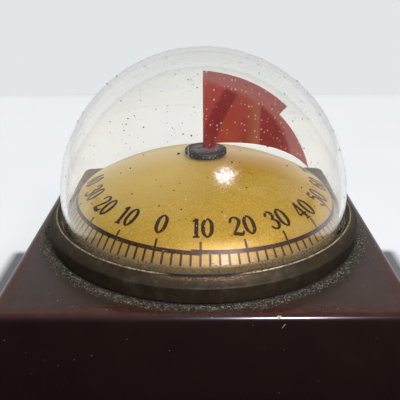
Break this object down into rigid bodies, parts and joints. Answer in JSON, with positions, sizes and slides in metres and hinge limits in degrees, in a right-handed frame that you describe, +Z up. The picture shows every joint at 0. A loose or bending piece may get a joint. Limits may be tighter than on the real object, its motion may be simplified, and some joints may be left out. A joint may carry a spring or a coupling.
{
  "type": "desk dome thermometer",
  "caption": "Square desk thermometer with a clear dome in a brass bezel: a bimetal coil under a domed gilt dial turns a red flag pointer round the scale.",
  "frame": {"origin": "on the floor under the middle of the square base, which is also on the pointer's axis", "axes": "+Z up along the pointer's axis; -Y is the front, where the middle of the visible scale faces; +X is to the right seen from the front"},
  "size_m": [0.0818, 0.0818, 0.0705],
  "materials": {
    "phenolic": "polished moulded phenolic, dark red-brown",
    "fibre_board": "vulcanised fibre, matt",
    "steel": "plain zinc-grey steel",
    "bright_brass": "plain turned brass",
    "aged_brass": "tarnished brown turned brass, worn at the crest",
    "gilt_brass": "satin gilt lacquer on pressed brass, dark printed scale",
    "clear_glass": "clear moulded dome, light dust and scratches",
    "black_rubber": "plain",
    "bimetal": "rolled bimetal strip",
    "blacked_steel": "blackened, dusty",
    "red_acetate": "thin translucent red sheet"
  },
  "bodies": {
    "case": {"base_block": "phenolic", "bottom_plate": "fibre_board", "bottom_screw_1": "steel", "bottom_screw_2": "steel", "bottom_screw_3": "steel", "bottom_screw_4": "steel", "mounting_plate": "steel", "mounting_screw_1": "steel", "mounting_screw_2": "steel", "mounting_screw_3": "steel", "mounting_washer_1": "steel", "mounting_washer_2": "steel", "mounting_washer_3": "steel", "mounting_nut_1": "bright_brass", "mounting_nut_2": "bright_brass", "mounting_nut_3": "bright_brass", "bezel_ring": "aged_brass", "dome": "clear_glass", "dome_gasket": "black_rubber", "dial": "gilt_brass", "dial_ring": "bright_brass", "lower_bearing": "bright_brass", "upper_bearing": "bright_brass", "movement_bridge": "bright_brass", "bridge_pillar_1": "bright_brass", "bridge_pillar_2": "bright_brass", "bridge_screw_1": "steel", "bridge_screw_2": "steel", "bimetal_coil": "bimetal", "coil_post": "bright_brass"},
    "pointer": {"pointer_staff": "steel", "coil_collet": "bright_brass", "pointer_hub": "blacked_steel", "pointer_flag": "red_acetate"}
  },
  "joints": [
    {"name": "pointer_turn", "type": "hinge", "parent": "case", "child": "pointer", "pos_m": [0, 0, 0.04715], "axis": [0, 0, 1], "range_deg": [-198.1, 74.4], "stiffness_Nm_per_rad": 0.0001, "deforming": ["bimetal_coil"]}
  ]
}
